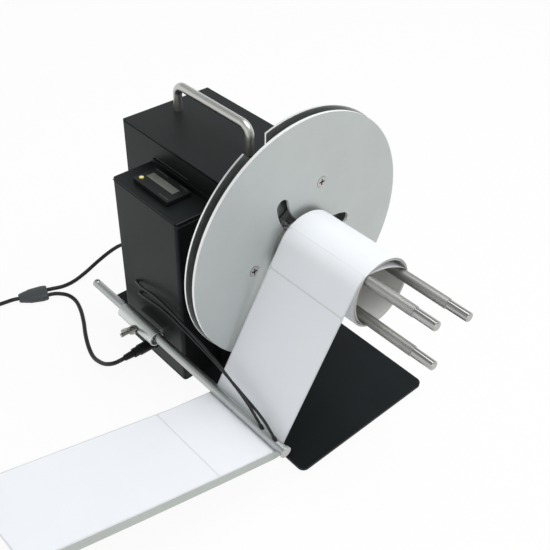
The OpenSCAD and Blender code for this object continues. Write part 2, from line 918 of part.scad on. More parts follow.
module counter_lid() {
    color(black_paint)
        difference() {
            union() {
                difference() {
                    translate([0, 0, lid_z])
                        linear_extrude(lid_h)
                            counter_outline();
                    translate([counter_x0 + wall, counter_front + wall, lid_z - 1])
                        cube([counter_w - 2 * wall, counter_depth - 2 * wall, lid_h - wall + 1]);
                }
                translate([counter_x1 - wall, counter_front + 4, counter_top - 1])
                    cube([wall, counter_depth - 9, upstand_h + 1]);
            }
            translate([module_x - body_w / 2 - 0.2, module_y - body_l / 2 - 0.2, lid_z - 1])
                cube([body_w + 0.4, body_l + 0.4, lid_h + 2]);
        }
}

module counter_body() {
    color(plastic_black)
        translate([module_x - body_w / 2, module_y - body_l / 2, counter_top - body_deep])
            cube([body_w, body_l, body_deep]);
}

// Bezel with a recess for the display window and a well for the reset button
window_x0 = -2.3;
window_x1 = 8.7;
window_y0 = -17;
window_y1 = 20.5;
button_at = [-6.6, 19];
button_r = 2.2;
button_gap = 0.4;
button_lift = 1.6;
well_floor = 0.5;

module counter_bezel() {
    color(plastic_black)
        translate([module_x, module_y, counter_top])
            difference() {
                linear_extrude(bezel_h)
                    round_rect(-bezel_w / 2, -bezel_l / 2, bezel_w / 2, bezel_l / 2, 1);
                translate([window_x0, window_y0, bezel_h - 1])
                    cube([window_x1 - window_x0, window_y1 - window_y0, 2]);
                translate([button_at[0], button_at[1], well_floor])
                    cylinder(r = button_r + button_gap, h = bezel_h);
            }
}

module counter_window() {
    color([0.55, 0.6, 0.55])
        translate([module_x + window_x0, module_y + window_y0, bezel_top - 1])
            cube([window_x1 - window_x0, window_y1 - window_y0, 0.8]);
}

module reset_button() {
    color([0.9, 0.8, 0.35])
        translate([module_x + button_at[0], module_y + button_at[1], counter_top + button_lift])
            cylinder(r = button_r, h = bezel_h - 1);
}

// Bent handle bar, drawn flat in y and z
module handle() {
    color(steel)
        difference() {
            rotate([90, 0, 90]) {
                for (y = [handle_y0, handle_y1])
                    translate([y, case_top, 0])
                        rotate([-90, 0, 0])
                            cylinder(r = handle_d / 2, h = handle_h - handle_bend);
                for (end = [[handle_y0 + handle_bend, 90], [handle_y1 - handle_bend, 0]])
                    translate([end[0], case_top + handle_h - handle_bend, 0])
                        rotate([0, 0, end[1]])
                            rotate_extrude(angle = 90)
                                translate([handle_bend, 0])
                                    circle(r = handle_d / 2);
                translate([handle_y0 + handle_bend, case_top + handle_h, 0])
                    rotate([0, 90, 0])
                        cylinder(r = handle_d / 2, h = handle_span - 2 * handle_bend);
            }
            for (y = [handle_y0, handle_y1])
                translate([0, y, case_top - 1])
                    cylinder(r = 2.5, h = 12);
        }
}

module handle_screws() {
    color(steel)
        for (y = [handle_y0, handle_y1])
            translate([0, y, case_top - wall]) {
                translate([0, 0, -3])
                    cylinder(r = 4.5, h = 3);
                translate([0, 0, -1])
                    cylinder(r = 2.4, h = wall + 11);
            }
}

// Power socket with its mouth at z = 2, and the plug that stands in it
module power_socket() {
    difference() {
        union() {
            cylinder(r = 5.9, h = jack_flange);
            translate([0, 0, -jack_deep])
                cylinder(r = 5.5, h = jack_deep + 1);
        }
        translate([0, 0, -9])
            cylinder(r = 2.85, h = 12);
    }
    translate([0, 0, -10])
        cylinder(r = 0.95, h = 9);
}

module power_plug() {
    difference() {
        union() {
            translate([0, 0, jack_flange])
                cylinder(r = 5.2, h = plug_l - 6);
            translate([0, 0, jack_flange + plug_l - 7])
                cylinder(r = 4.5, h = 7);
            translate([0, 0, -8])
                cylinder(r = 2.75, h = 11);
            relief(jack_flange + plug_l);
        }
        translate([0, 0, -9])
            cylinder(r = 1.25, h = 9);
    }
}

// Ribbed strain relief
module relief(z) {
    translate([0, 0, z - 0.5])
        cylinder(r = 2.5, h = relief_l + 0.5);
    for (k = [0 : 3])
        translate([0, 0, z + 0.4 + 2.4 * k])
            cylinder(r = 3.4 - 0.15 * k, h = 1.5);
}

module rear_socket() {
    color(plastic_black)
        translate([inlet_x, case_back, inlet_z])
            rotate([-90, 0, 0])
                power_socket();
}

module rear_plug() {
    color(plastic_black)
        translate([inlet_x, case_back, inlet_z])
            rotate([-90, 0, 0])
                power_plug();
}

module counter_socket() {
    color(plastic_black)
        translate([counter_x0, socket_y, socket_z])
            rotate([0, -90, 0])
                power_socket();
}

module counter_plug() {
    color(plastic_black)
        translate([counter_x0, socket_y, socket_z])
            rotate([0, -90, 0])
                power_plug();
}

// Rocker switch in the rear panel
rocker_tilt = 8;

module switch_frame() {
    color(plastic_black)
        translate([switch_x, case_back, switch_z])
            difference() {
                union() {
                    translate([-7.5, 0, -10.5])
                        cube([15, 1.5, 21]);
                    translate([-6.4, -12, -9.4])
                        cube([12.8, 12.5, 18.8]);
                }
                translate([-4.9, -9, -8.2])
                    cube([9.8, 12, 16.4]);
                pin_x(-2, 0, 1.05, -6.2, 6.2);
            }
}

module switch_rocker() {
    color(plastic_black)
        translate([switch_x, case_back - 2, switch_z])
            rotate([rocker_tilt, 0, 0]) {
                translate([-4.5, -2.2, -7.2])
                    cube([9, 5, 14.4]);
                pin_x(0, 0, 1, -6, 6);
            }
}

module guide_rod() {
    color(aluminium)
        difference() {
            pin_y(guide_x, guide_z, guide_d / 2, guide_tip, guide_back);
            pin_y(guide_x, guide_z, guide_bore_r, guide_tip - 1, guide_back + 1);
            for (y = sensor_ys)
                translate([guide_x, y, guide_z])
                    rotate([-sensor_lean, 0, 0])
                        cylinder(r = sensor_r, h = 2 * guide_d);
            translate([guide_x, guide_hole_y, guide_z])
                cylinder(r = guide_hole_r, h = guide_d);
        }
}

module guide_cap() {
    color([0.8, 0.81, 0.81])
        union() {
            pin_y(guide_x, guide_z, guide_d / 2 + 1, guide_tip - 2, guide_tip);
            pin_y(guide_x, guide_z, guide_bore_r, guide_tip - 1, guide_tip + 3);
        }
}

// Sensors lean back towards the cables
module sensors() {
    color(plastic_black)
        for (y = sensor_ys)
            translate([guide_x, y, guide_z])
                rotate([-sensor_lean, 0, 0])
                    translate([0, 0, sensor_from])
                        cylinder(r = sensor_r, h = sensor_to - sensor_from);
}

// Sleeve for the guide rod, on a low foot against the counter case. It stands a little out and down from the
// rod's axis, and its near end is recessed round the rod
module clamp_block() {
    color(aluminium)
        difference() {
            union() {
                pin_y(clamp_x, clamp_z, clamp_d / 2, clamp_y, clamp_y + clamp_l);
                translate([guide_x, clamp_y + clamp_foot, guide_z - 5.5])
                    cube([guide_off, clamp_l - 2 * clamp_foot, 4]);
            }
            pin_y(guide_x, guide_z, guide_d / 2 + 0.05, clamp_y - 1, clamp_y + clamp_l + 1);
            pin_y(clamp_x, clamp_z, clamp_d / 2 - 1.1, clamp_y - 1, clamp_y + clamp_recess);
            pin_x(wing_y, guide_z, 2.05, guide_x - clamp_d, guide_x);
        }
}

// Wing screw across the sleeve: a round hub with two ears, on a stem that stands out past it
wing_stem = guide_x - guide_d / 2 - 0.4;
wing_hub = clamp_x - clamp_d / 2 - 0.8;
wing_end = wing_hub - 14;
wing_turn = -32;
ear_t = 2.4;

module wing_screw() {
    color(steel)
        union() {
            pin_x(wing_y, guide_z, 2, wing_end, wing_stem);
            pin_x(wing_y, guide_z, 3.6, wing_hub - 5.5, wing_hub);
            translate([wing_hub, wing_y, guide_z])
                rotate([wing_turn, 0, 0])
                    for (s = [-1, 1])
                        translate([0, 0, -ear_t / 2])
                            linear_extrude(ear_t)
                                hull() {
                                    translate([-2.8, s * 2])
                                        circle(r = 1.8);
                                    translate([-5.6, s * 9.6])
                                        circle(r = 3.2);
                                }
        }
}

module cable_outlets() {
    color(rubber_black)
        for (k = [0, 1]) {
            pin_x(outlet_ys[k], outlet_zs[k], 2.1, counter_x0 - outlet_l, counter_x0);
            pin_x(outlet_ys[k], outlet_zs[k], 1.8, counter_x0 - outlet_l / 2, counter_x0 + 4);
        }
}

module cable_a() {
    color(rubber_black)
        tube(cable_a_route, cable_r, [1, 0.1, 0.2], 2);
}

module cable_b() {
    color(rubber_black)
        tube(cable_b_route, cable_r, [1, 0.1, 0.2], 2);
}

module counter_lead() {
    color(rubber_black)
        tube(counter_lead_route, lead_r, [0, 0, 1], 2);
}

module rear_lead() {
    color(rubber_black)
        tube(rear_lead_route, lead_r, [0, 0, 1], 2);
}

module supply_lead() {
    color(rubber_black)
        tube(supply_lead_route, lead_r, [0, 0, 1], 2);
}

// Flat moulding where the supply lead forks, narrow at the supply side
module lead_fork() {
    color(plastic_black)
        translate([fork[0], fork[1], 0.6])
            rotate(fork_turn)
                linear_extrude(8)
                    polygon([[0, -9], [0, 9], [-4, 10], [-17, 9], [-fork_l, 4.5], [-fork_l, -4.5],
                        [-17, -9], [-4, -10]]);
}

// Free socket at the end of the supply lead
module supply_socket() {
    color(plastic_black)
        translate([end_socket[0] - relief_l - 28, end_socket[1], end_socket[2]])
            rotate([0, 90, 0])
                difference() {
                    union() {
                        cylinder(r = 5.5, h = 28);
                        relief(28);
                    }
                    translate([0, 0, -1])
                        cylinder(r = 2.85, h = 11);
                }
}

base_plate();
base_mat();
main_case();
rear_panel();
case_screws();
panel_screws();
bearing_housing();
bearings();
motor_bracket();
gearmotor();
motor_shaft();
shaft_coupling();
control_board();
board_posts();
spindle_shaft();
rear_collar();
spindle_bolt();
front_disc();
rear_disc();
pivot_screws();
arm_a();
arm_b();
arm_c();
rod_a();
rod_b();
rod_c();
label_roll();
label_strip();
counter_case();
counter_lid();
counter_body();
counter_bezel();
counter_window();
reset_button();
handle();
handle_screws();
rear_socket();
rear_plug();
counter_socket();
counter_plug();
switch_frame();
switch_rocker();
guide_rod();
guide_cap();
sensors();
clamp_block();
wing_screw();
cable_outlets();
cable_a();
cable_b();
counter_lead();
rear_lead();
supply_lead();
lead_fork();
supply_socket();
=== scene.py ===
"""Looks of a desktop label rewinder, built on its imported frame.

Lengths are in metres, in the frame's own axes. Blocks and routes are written in millimetres.
"""

import math
from collections import namedtuple

import bpy
from mathutils import Matrix, Vector


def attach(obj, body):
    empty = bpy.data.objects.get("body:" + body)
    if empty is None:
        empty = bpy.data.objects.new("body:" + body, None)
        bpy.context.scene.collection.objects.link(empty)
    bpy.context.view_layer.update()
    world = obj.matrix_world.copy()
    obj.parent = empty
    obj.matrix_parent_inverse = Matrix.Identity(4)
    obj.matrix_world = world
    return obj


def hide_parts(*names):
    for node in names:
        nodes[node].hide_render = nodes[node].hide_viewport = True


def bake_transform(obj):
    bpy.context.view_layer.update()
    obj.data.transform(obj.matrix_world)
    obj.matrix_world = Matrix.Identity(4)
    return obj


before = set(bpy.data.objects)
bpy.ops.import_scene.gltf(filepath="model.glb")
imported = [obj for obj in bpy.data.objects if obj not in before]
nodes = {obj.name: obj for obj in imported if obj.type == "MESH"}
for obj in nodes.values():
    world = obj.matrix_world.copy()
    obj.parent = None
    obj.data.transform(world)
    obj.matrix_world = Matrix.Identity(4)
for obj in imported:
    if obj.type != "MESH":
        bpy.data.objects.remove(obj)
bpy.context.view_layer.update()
MM = 0.001

# Sizes that the paper, the rods and the cords share with the solids
AXIS_Z = 153.5 * MM
AXIS = Vector((0, AXIS_Z))
ROD_CIRCLE = 25 * MM
ROD_ANGLES = {"a": 128.8, "b": 248.8, "c": 8.8}
KNURL_R = 4.5 * MM
TIP_R = 4 * MM
SHANK_R = 3.3 * MM
GUIDE_X = -96.5
GUIDE_Z = 48.5
GUIDE = Vector((GUIDE_X * MM, GUIDE_Z * MM))
GUIDE_R = 4 * MM
STRIP_BACK = -4.2 * MM
STRIP_FRONT = -83.2 * MM
STRIP_LENGTH = 215 * MM
STRIP_RISE = math.radians(15.7)
CONTACT_TURN = math.radians(24)
ROLL_IN = KNURL_R + 0.35 * MM
ROLL_OUT = ROLL_IN + 1.2 * MM
CORE_BULGE = (43, 49, 16)
LOOSE_BULGE = (58, 58, 52)
ROLL_BACK = -5 * MM
ROLL_FRONT = -85.4 * MM


# Shader helpers

def add(tree, kind, **values):
    """A new node; values set its sockets by name."""
    node = tree.nodes.new(kind)
    for name, value in values.items():
        node.inputs[name.replace("_", " ")].default_value = value
    return node


def new_material(name):
    material = bpy.data.materials.new(name)
    material.use_nodes = True
    tree = material.node_tree
    return material, tree, tree.nodes["Principled BSDF"]


def noise(tree, scale, stretch=(1, 1, 1), detail=3.0):
    """Noise in the object's own coordinates, drawn out along an axis by a small stretch value."""
    place = add(tree, "ShaderNodeTexCoord")
    spread = add(tree, "ShaderNodeMapping", Scale=stretch)
    grain = add(tree, "ShaderNodeTexNoise", Scale=scale, Detail=detail, Roughness=0.6)
    tree.links.new(place.outputs["Object"], spread.inputs["Vector"])
    tree.links.new(spread.outputs["Vector"], grain.inputs["Vector"])
    return grain.outputs["Fac"]


def between(tree, factor, low, high):
    """A number that runs from low to high with a factor."""
    ramp = add(tree, "ShaderNodeMapRange", To_Min=low, To_Max=high)
    tree.links.new(factor, ramp.inputs["Value"])
    return ramp.outputs["Result"]


def tint(tree, factor, dark, light):
    """A colour that runs from dark to light with a factor."""
    ramp = tree.nodes.new("ShaderNodeValToRGB")
    ramp.color_ramp.elements[0].position = 0.3
    ramp.color_ramp.elements[0].color = (*dark, 1)
    ramp.color_ramp.elements[1].position = 0.7
    ramp.color_ramp.elements[1].color = (*light, 1)
    tree.links.new(factor, ramp.inputs["Fac"])
    return ramp.outputs["Color"]


def rough_surface(tree, shader, height, depth, edge):
    """Bump from a height, over edges that are rounded by the edge radius."""
    bump = add(tree, "ShaderNodeBump", Strength=0.6, Distance=depth)
    tree.links.new(height, bump.inputs["Height"])
    if edge:
        rounded = tree.nodes.new("ShaderNodeBevel")
        rounded.samples = 6
        rounded.inputs["Radius"].default_value = edge
        tree.links.new(rounded.outputs["Normal"], bump.inputs["Normal"])
    tree.links.new(bump.outputs["Normal"], shader.inputs["Normal"])


def shade(colour, factor):
    return tuple(min(1.0, c * factor) for c in colour)


SLOW_GRAIN = 22
ROUGH_SPREAD = 0.07


def surface(name, colour, rough, metal=0.0, grain=1400, stretch=(1, 1, 1), depth=0.02 * MM, vary=0.12,
            edge=0.4 * MM, shine=0.5, shine_tint=(1, 1, 1)):
    """A material with fine grain: its colour varies slowly, its roughness and height vary with the grain."""
    material, tree, shader = new_material(name)
    shader.inputs["Metallic"].default_value = metal
    shader.inputs["Specular IOR Level"].default_value = shine
    shader.inputs["Specular Tint"].default_value = (*shine_tint, 1)
    fine = noise(tree, grain, stretch)
    slow = noise(tree, SLOW_GRAIN)
    colours = tint(tree, slow, shade(colour, 1 - vary), shade(colour, 1 + vary))
    tree.links.new(colours, shader.inputs["Base Color"])
    roughness = between(tree, fine, rough - ROUGH_SPREAD, rough + ROUGH_SPREAD)
    tree.links.new(roughness, shader.inputs["Roughness"])
    rough_surface(tree, shader, fine, depth, edge)
    return material


def paint_rim_light_and_shade(material, colour):
    """Paints another colour on the faces that look away from the spindle's axis: a painted highlight on the
    disc rims, and painted shade on the sides and recesses of the screw heads.
    """
    tree = material.node_tree
    target = tree.nodes["Principled BSDF"].inputs["Base Color"]
    face_colour = target.links[0].from_socket
    facing = tree.nodes.new("ShaderNodeNewGeometry")
    split = tree.nodes.new("ShaderNodeSeparateXYZ")
    size = tree.nodes.new("ShaderNodeMath")
    size.operation = "ABSOLUTE"
    mix = tree.nodes.new("ShaderNodeMix")
    mix.data_type = "RGBA"
    mix.inputs["B"].default_value = (*colour, 1)
    tree.links.new(facing.outputs["True Normal"], split.inputs["Vector"])
    tree.links.new(split.outputs["Y"], size.inputs[0])
    tree.links.new(between(tree, size.outputs["Value"], 1, 0), mix.inputs["Factor"])
    tree.links.new(face_colour, mix.inputs["A"])
    tree.links.new(mix.outputs["Result"], target)
    return material


def paper(name, colour, rough, grain, vary):
    """Smooth paper, too thin for rounded edges."""
    return surface(name, colour, rough, grain=grain, depth=0.012 * MM, vary=vary, edge=0)


# Materials

COOL = (0.86, 1, 1.03)
black_paint = surface("black_powder_coat", (0.007, 0.0082, 0.0084), 0.44, grain=1100, depth=0.05 * MM,
                      edge=0.6 * MM, shine=0.195, shine_tint=COOL)
base_paint = surface("black_base_coat", (0.0092, 0.0108, 0.012), 0.5, grain=1100, depth=0.05 * MM,
                     edge=0.6 * MM, shine=0.12, shine_tint=COOL)
black_plastic = surface("black_moulded_plastic", (0.0092, 0.0098, 0.0102), 0.42, grain=2400, shine=0.28)
bezel_plastic = surface("bezel_plastic", (0.0085, 0.0092, 0.0098), 0.36, grain=2600, depth=0.012 * MM,
                        edge=0.3 * MM, shine=0.25)
fork_plastic = surface("soft_moulded_plastic", (0.046, 0.052, 0.056), 0.5, grain=2000, depth=0.03 * MM)
rubber = surface("black_rubber", (0.01, 0.01, 0.01), 0.62, grain=1700, depth=0.03 * MM, shine=0.3)
cord_skin = surface("cord_skin", (0.0075, 0.008, 0.0085), 0.42, grain=900, edge=0, shine=0.35)
disc_metal = surface("satin_aluminium", (0.53, 0.565, 0.555), 0.45, 0.5, grain=900, stretch=(0.06, 1, 1),
                     depth=0.006 * MM, vary=0.03, edge=0.35 * MM)
# Painted highlight: a near-white colour on the front disc's rim and its other side faces.
disc_metal = paint_rim_light_and_shade(disc_metal, (0.95, 0.96, 0.96))
rear_metal = surface("rear_disc_aluminium", (0.5, 0.52, 0.51), 0.4, 1.0, grain=900, stretch=(0.06, 1, 1),
                     depth=0.006 * MM, vary=0.05, edge=0.35 * MM)
# Painted highlight: a pale colour on the rear disc's rim and its other side faces.
rear_metal = paint_rim_light_and_shade(rear_metal, (0.9, 0.91, 0.91))
pale_metal = surface("turned_aluminium", (0.48, 0.5, 0.495), 0.36, 1.0, grain=1500, stretch=(1, 0.1, 1),
                     depth=0.01 * MM, vary=0.05)
clamp_metal = surface("cast_aluminium", (0.66, 0.7, 0.675), 0.42, 1.0, grain=1100, depth=0.03 * MM,
                      vary=0.06)
bright_steel = surface("bright_steel", (0.48, 0.48, 0.465), 0.24, 1.0, grain=1600, stretch=(1, 0.1, 1),
                       depth=0.006 * MM, vary=0.05, edge=0.3 * MM)
tip_steel = surface("polished_tip_steel", (0.43, 0.43, 0.415), 0.15, 1.0, grain=700, depth=0.0008 * MM,
                    vary=0.03, edge=0.2 * MM)
knurl_steel = surface("knurled_steel", (0.42, 0.415, 0.4), 0.46, 1.0, grain=1500, vary=0.1, edge=0)
screw_steel = surface("screw_steel", (0.5, 0.5, 0.48), 0.3, 1.0, grain=1600, depth=0.006 * MM, vary=0.05,
                      edge=0.15 * MM)
# Painted shade: near-black on the sides of the screw heads and on the walls of their recesses.
screw_steel = paint_rim_light_and_shade(screw_steel, (0.012, 0.012, 0.012))
wing_steel = surface("wing_screw_steel", (0.3, 0.295, 0.27), 0.26, 1.0, grain=1600, vary=0.1)
dark_steel = surface("dark_steel", (0.2, 0.2, 0.2), 0.38, 1.0, grain=1300, depth=0.015 * MM)
handle_steel = surface("polished_steel", (0.57, 0.575, 0.55), 0.36, 1.0, grain=1800, stretch=(1, 0.05, 1),
                       depth=0.003 * MM, vary=0.04)
motor_steel = surface("plated_steel", (0.48, 0.48, 0.47), 0.3, 1.0, grain=1300, depth=0.012 * MM)
board_green = surface("circuit_board", (0.012, 0.09, 0.035), 0.35, grain=700, depth=0.04 * MM, vary=0.3)
label_paper = paper("label_paper", (0.87, 0.895, 0.93), 0.5, grain=2600, vary=0.01)
liner_paper = paper("liner_paper", (0.73, 0.755, 0.78), 0.42, grain=2000, vary=0.015)
edge_paper = surface("paper_edge", (0.53, 0.53, 0.5), 0.7, grain=2600, stretch=(1, 0.1, 1), depth=0.05 * MM,
                     vary=0.06, edge=0)
back_paper = paper("paper_back", (0.76, 0.755, 0.735), 0.6, grain=2600, vary=0.01)
# Painted shade: the turned-down front edge is darker and greener than the strip's paper.
shaded_fold_paper = paper("folded_edge_painted_shade", (0.54, 0.58, 0.545), 0.6, grain=2000, vary=0.02)
frame_print = surface("display_frame_print", (0.09, 0.095, 0.095), 0.4, grain=2600, vary=0.15, edge=0)
# Painted shadow: near-black for the dark lines under the cases' top edges.
painted_edge_shadow = surface("edge_shadow_paint", (0.0015, 0.0015, 0.0015), 0.8, grain=2000, vary=0.2, edge=0, shine=0.05)
# Painted highlight: light grey for thin lit lines along edges of the counter lid and the upstand.
edge_highlight_paint = surface("painted_edge_highlight", (0.07, 0.074, 0.076), 0.35, grain=2000, vary=0.2, edge=0)
window_plastic = surface("dark_window", (0.012, 0.013, 0.013), 0.2, grain=2600, depth=0.004 * MM,
                         edge=0, shine=0.4)


def display_material():
    """Grey-green display under a clear gloss layer, with faint cells."""
    material, tree, shader = new_material("display")
    slow = noise(tree, 60, detail=1.0)
    colours = tint(tree, slow, (0.085, 0.093, 0.08), (0.13, 0.138, 0.118))
    tree.links.new(colours, shader.inputs["Base Color"])
    shader.inputs["Coat Weight"].default_value = 0.5
    shader.inputs["Coat Roughness"].default_value = 0.08
    fine = noise(tree, 3000)
    tree.links.new(between(tree, fine, 0.25, 0.35), shader.inputs["Roughness"])
    rough_surface(tree, shader, fine, 0.004 * MM, 0.2 * MM)
    return material


BUTTON = Vector((-70.8, 119, 183.3)) * MM
BUTTON_FADE = 420


def button_material():
    """Pale yellow translucent plastic, with a painted highlight that makes the middle of the dome near white.
    """
    material, tree, shader = new_material("button_yellow")
    place = add(tree, "ShaderNodeTexCoord")
    highlight_spot = tree.nodes.new("ShaderNodeTexGradient")
    highlight_spot.gradient_type = "SPHERICAL"
    fit = add(tree, "ShaderNodeMapping", Scale=[BUTTON_FADE] * 3, Location=-BUTTON_FADE * BUTTON)
    tree.links.new(place.outputs["Object"], fit.inputs["Vector"])
    tree.links.new(fit.outputs["Vector"], highlight_spot.inputs["Vector"])
    # Painted highlight: yellow at the dome's rim, fading to near white in its middle.
    colours = tint(tree, highlight_spot.outputs["Fac"], (0.55, 0.5, 0.08), (0.95, 0.93, 0.7))
    tree.links.new(colours, shader.inputs["Base Color"])
    shader.inputs["Coat Weight"].default_value = 0.4
    fine = noise(tree, 2500)
    tree.links.new(between(tree, fine, 0.22, 0.34), shader.inputs["Roughness"])
    rough_surface(tree, shader, fine, 0.006 * MM, 0.3 * MM)
    return material


display = display_material()
button_yellow = button_material()

NODE_MATERIALS = [
    (black_paint, ["main_case", "rear_panel", "counter_case", "counter_lid"]),
    (base_paint, ["base_plate"]),
    (rubber, ["base_mat", "cable_outlets"]),
    (black_plastic, ["counter_body", "rear_socket", "rear_plug", "counter_socket", "counter_plug",
                     "switch_frame", "switch_rocker", "supply_socket", "sensors"]),
    (bezel_plastic, ["counter_bezel"]),
    (disc_metal, ["front_disc"]),
    (rear_metal, ["rear_disc"]),
    (pale_metal, ["bearing_housing", "shaft_coupling", "guide_rod", "guide_cap"]),
    (clamp_metal, ["clamp_block"]),
    (bright_steel, ["case_screws", "panel_screws", "spindle_bolt", "handle_screws", "spindle_shaft",
                    "motor_shaft", "board_posts", "bearings"]),
    (screw_steel, ["pivot_screws"]),
    (wing_steel, ["wing_screw"]),
    (dark_steel, ["arm_a", "arm_b", "arm_c", "rear_collar"]),
    (motor_steel, ["motor_bracket", "gearmotor"]),
    (handle_steel, ["handle"]),
    (board_green, ["control_board"]),
    (button_yellow, ["reset_button"]),
]
for material, names in NODE_MATERIALS:
    for name in names:
        slots = nodes[name].data.materials
        slots.clear()
        slots.append(material)


# Mesh helpers

def mesh_piece(name, vertices, faces, materials, face_materials=None, crease=35):
    """A smooth-shaded mesh object with sharp edges above the crease angle."""
    mesh = bpy.data.meshes.new(name)
    mesh.from_pydata(vertices, [], faces)
    for material in materials:
        mesh.materials.append(material)
    if face_materials:
        mesh.polygons.foreach_set("material_index", face_materials)
    mesh.validate()
    mesh.shade_smooth()
    mesh.set_sharp_from_angle(angle=math.radians(crease))
    piece = bpy.data.objects.new(name, mesh)
    bpy.context.scene.collection.objects.link(piece)
    return piece


def ring_faces(rings, sides):
    """Quads between rings of points that follow each other, and a cap at each end."""
    faces = []
    for i in range(rings - 1):
        for k in range(sides):
            a = i * sides + k
            b = i * sides + (k + 1) % sides
            faces.append((a, b, b + sides, a + sides))
    faces.append(tuple(reversed(range(sides))))
    faces.append(tuple(range((rings - 1) * sides, rings * sides)))
    return faces


def smooth_route(points, steps):
    """Points on a smooth curve through the route's own points."""
    last = len(points) - 1
    at = [Vector(p) * MM for p in points]
    line = []
    for i in range(last):
        a, b, c, d = at[max(0, i - 1)], at[i], at[i + 1], at[min(last, i + 2)]
        for k in range(steps):
            t = k / steps
            line.append(0.5 * (2 * b + (c - a) * t + (2 * a - 5 * b + 4 * c - d) * t ** 2
                               + (3 * b - a - 3 * c + d) * t ** 3))
    line.append(at[last])
    return line


def tube_mesh(name, line, radius, sides, material):
    """A round tube along a line of points."""
    vertices = []
    side = Vector((1, 0.1, 0.2))
    for i, point in enumerate(line):
        along = (line[min(i + 1, len(line) - 1)] - line[max(i - 1, 0)]).normalized()
        side = (side - along * side.dot(along)).normalized()
        up = along.cross(side)
        for k in range(sides):
            a = 2 * math.pi * k / sides
            vertices.append(point + radius * (math.cos(a) * side + math.sin(a) * up))
    return mesh_piece(name, vertices, ring_faces(len(line), sides), [material])


def cord_curve(name, line, radius, material):
    """A round cord as one open curve."""
    curve = bpy.data.curves.new(name, "CURVE")
    curve.dimensions = "3D"
    curve.bevel_depth = radius
    curve.bevel_resolution = 4
    curve.use_fill_caps = True
    spline = curve.splines.new("POLY")
    spline.points.add(len(line) - 1)
    for point, place in zip(spline.points, line):
        point.co = (*place, 1)
    spline.use_smooth = True
    curve.materials.append(material)
    cord = bpy.data.objects.new(name, curve)
    bpy.context.scene.collection.objects.link(cord)
    return cord


BLOCK_FACES = ((3, 2, 1, 0), (4, 5, 6, 7), (0, 1, 5, 4), (1, 2, 6, 5), (2, 3, 7, 6), (3, 0, 4, 7))


def blocks(name, boxes, material):
    """Plain blocks as one piece, each given by its low and high corner in millimetres."""
    vertices = []
    faces = []
    for low, high in boxes:
        first = len(vertices)
        for z in (low[2], high[2]):
            for x, y in ((low[0], low[1]), (high[0], low[1]), (high[0], high[1]), (low[0], high[1])):
                vertices.append(Vector((x, y, z)) * MM)
        faces += [tuple(first + k for k in corners) for corners in BLOCK_FACES]
    piece = mesh_piece(name, vertices, faces, [material])
    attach(piece, "machine")
    return piece


# Counter: the display panel under its dark window, printed lines on the bezel and painted highlights along
# edges of the lid

WINDOW = ((-66.5, 83, 181.5), (-55.5, 120.5, 182.3))
PANEL = ((-65.9, 83.4, 182), (-58.4, 119, 182.33))
BEZEL_TOP = 182.5
BEZEL_LINES = [(-53.9, 105.7, 122), (-53.9, 79, 89), (-73.4, 78.6, 91.4)]
LINE_HALF = 0.2
LINE_SUNK = 0.1
LINE_PROUD = 0.03
LID_LEFT = -84.5
LID_RIGHT = -47.5
LID_FRONT = 53
LID_TOP = 178
LID_FOOT = 174
LID_EDGE = 0.45
UPSTAND_HIGHLIGHT = ((-46.9, 88, 185.6), (-46.3, 135, 186.1))


def printed_line(x, y0, y1):
    """A thin line along y on the bezel's top."""
    return ((x - LINE_HALF, y0, BEZEL_TOP - LINE_SUNK), (x + LINE_HALF, y1, BEZEL_TOP + LINE_PROUD))


def lid_edge(top):
    """A thin painted-highlight line along x on the lid's front, just under a height."""
    low = (LID_LEFT, LID_FRONT - LINE_HALF, top - LID_EDGE)
    high = (LID_RIGHT, LID_FRONT + LINE_HALF, top + LINE_PROUD)
    return (low, high)


window = blocks("display_window", [WINDOW], window_plastic)
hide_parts("counter_window")
blocks("display_panel", [PANEL], display)
bezel_lines = [printed_line(*place) for place in BEZEL_LINES]
blocks("bezel_lines", bezel_lines, frame_print)
# Painted highlights: light lines along the lid's front edges and along the upstand's edge.
lid_highlights = [lid_edge(LID_TOP), lid_edge(LID_FOOT), UPSTAND_HIGHLIGHT]
blocks("lid_highlights", lid_highlights, edge_highlight_paint)


# Painted shadow: dark lines just under the top edges of the two cases, on their left faces

MAIN_EDGE_SHADOW = ((-46.56, 46.3, 200.9), (-46.3, 178.2, 201.9))
COUNTER_EDGE_SHADOW = ((-85.56, 53.8, 175.9), (-85.3, 140.2, 176.7))
blocks("case_edge_shadows", [MAIN_EDGE_SHADOW, COUNTER_EDGE_SHADOW], painted_edge_shadow)


# Core rods: knurled body, turned groove and polished tip with a chamfer

KNURL_SIDES = 50
KNURL_START = -2 * MM
KNURL_END = -130 * MM
KNURL_STEP = 0.8 * MM
KNURL_DEPTH = 0.34 * MM
STUD_BACK = 10.2 * MM
STUD_R = 2 * MM
STUD_CHAMFER = 0.1 * MM
SHANK_BACK = 7.7 * MM
GROOVE_AT = KNURL_END - 0.2 * MM
GROOVE_W = 0.7 * MM
GROOVE_SLOPE = 0.2 * MM
GROOVE_DEPTH = 0.35 * MM
TIP_END = -150 * MM
TIP_UNDER = 0.05 * MM
TIP_CHAMFER = ((0.8 * MM, TIP_UNDER), (0.25 * MM, 0.5 * MM), (0, 0.8 * MM))


def rod_profile():
    """Distances along the rod, the radius there, and whether the ring is knurled."""
    profile = [(STUD_BACK, STUD_R - STUD_CHAMFER, False), (SHANK_BACK, STUD_R, False)]
    profile += [(SHANK_BACK, SHANK_R, False), (KNURL_START, SHANK_R, False)]
    rows = round((KNURL_START - KNURL_END) / KNURL_STEP)
    for i in range(rows + 1):
        profile.append((KNURL_START + (KNURL_END - KNURL_START) * i / rows, KNURL_R, True))
    groove_r = TIP_R - GROOVE_DEPTH
    profile.append((GROOVE_AT, groove_r, False))
    profile.append((GROOVE_AT - GROOVE_W, groove_r, False))
    profile.append((GROOVE_AT - GROOVE_W - GROOVE_SLOPE, TIP_R - TIP_UNDER, False))
    for before_end, under in TIP_CHAMFER:
        profile.append((TIP_END + before_end, TIP_R - under, False))
    return profile


